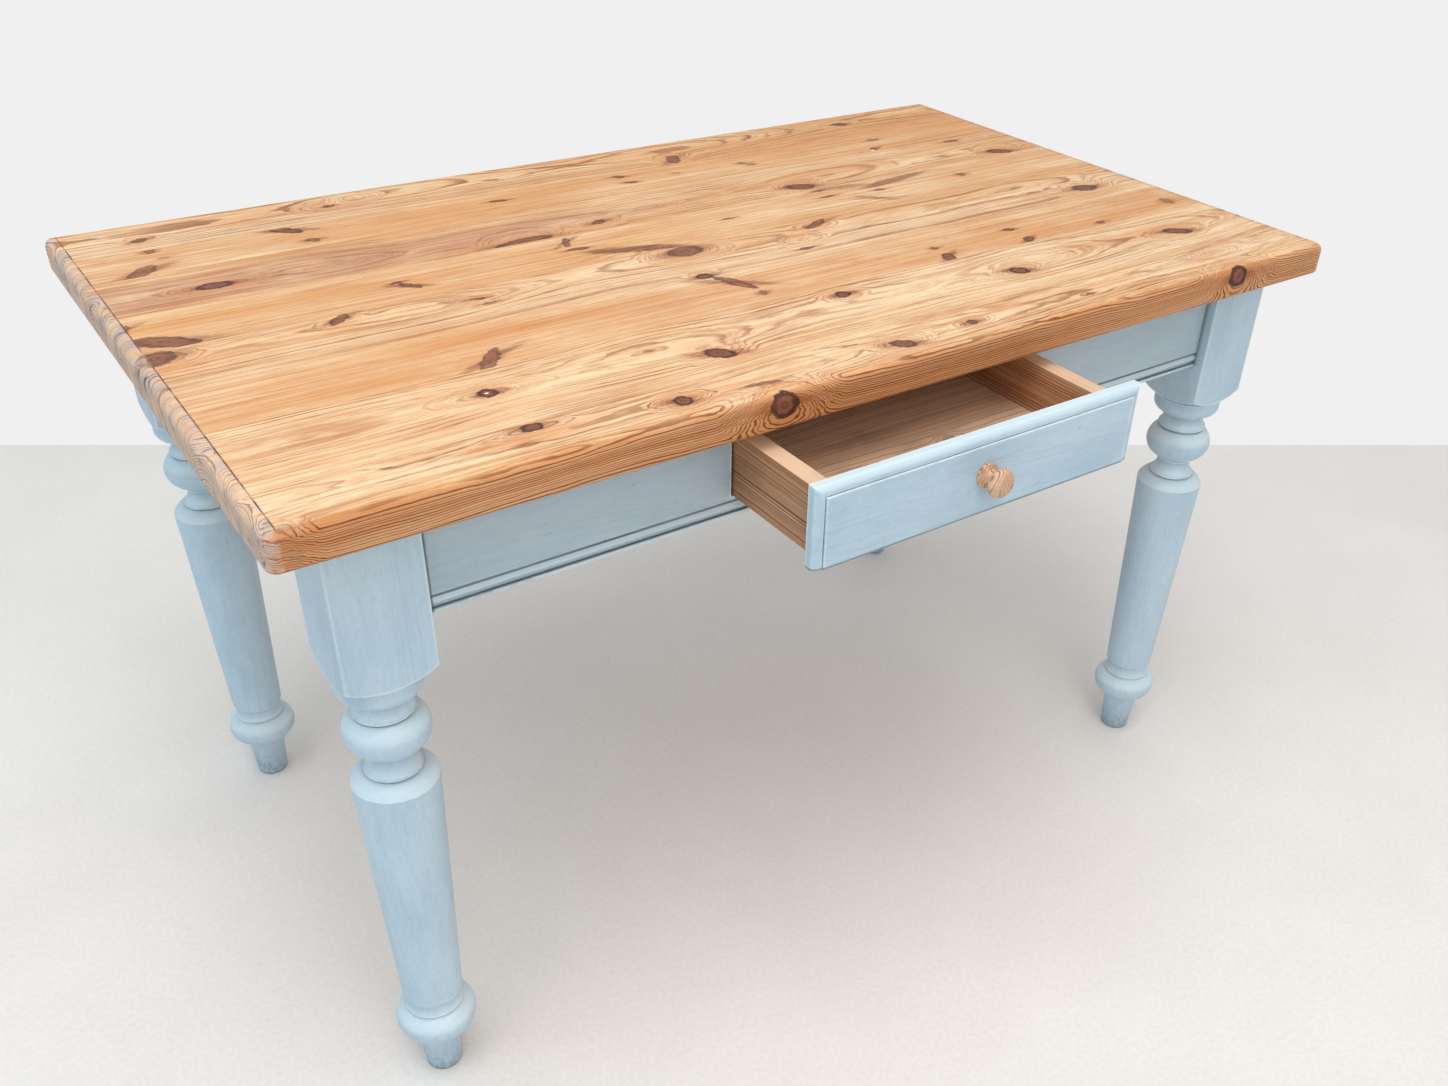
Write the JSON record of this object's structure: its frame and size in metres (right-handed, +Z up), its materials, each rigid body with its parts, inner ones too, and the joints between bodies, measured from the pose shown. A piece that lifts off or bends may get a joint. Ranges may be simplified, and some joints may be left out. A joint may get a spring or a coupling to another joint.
{
  "type": "kitchen table with drawer",
  "caption": "Rectangular farmhouse kitchen table with a thick plank top, turned and painted legs, beaded aprons and a lipped drawer with a turned knob that slides out from one long side.",
  "frame": {"origin": "on the floor under the middle of the table top", "axes": "+X to the right along the length as seen from the drawer's side, +Y from the drawer's side to the back, +Z up"},
  "size_m": [1.3, 0.9024, 0.77],
  "materials": {
    "painted_wood": "pale grey-blue eggshell paint, brushed, worn at the arrises",
    "pine_top": "waxed knotty pine, satin",
    "bare_pine": "bare pine, dulled by age",
    "knob_wood": "bare turned wood",
    "steel": "dull steel screws and pins"
  },
  "bodies": {
    "table": {"leg_front_left": "painted_wood", "leg_front_right": "painted_wood", "leg_back_left": "painted_wood", "leg_back_right": "painted_wood", "apron_front": "painted_wood", "apron_back": "painted_wood", "apron_left": "painted_wood", "apron_right": "painted_wood", "top_plank_1": "pine_top", "top_plank_2": "pine_top", "top_plank_3": "pine_top", "top_plank_4": "pine_top", "top_plank_5": "pine_top", "top_plank_6": "pine_top", "top_plank_7": "pine_top", "top_buttons": "bare_pine", "drawer_runner_left": "bare_pine", "drawer_runner_right": "bare_pine", "drawer_kicker_left": "bare_pine", "drawer_kicker_right": "bare_pine", "button_screws": "steel", "kicker_screws": "steel"},
    "drawer": {"drawer_front": "painted_wood", "drawer_side_left": "bare_pine", "drawer_side_right": "bare_pine", "drawer_back": "bare_pine", "drawer_bottom_1": "bare_pine", "drawer_bottom_2": "bare_pine", "drawer_bottom_3": "bare_pine", "drawer_pins": "steel", "drawer_knob": "knob_wood"}
  },
  "joints": [
    {"name": "drawer_slide", "type": "slide", "parent": "table", "child": "drawer", "axis": [0, -1, 0], "range_m": [-0.1416, 0.198]}
  ]
}
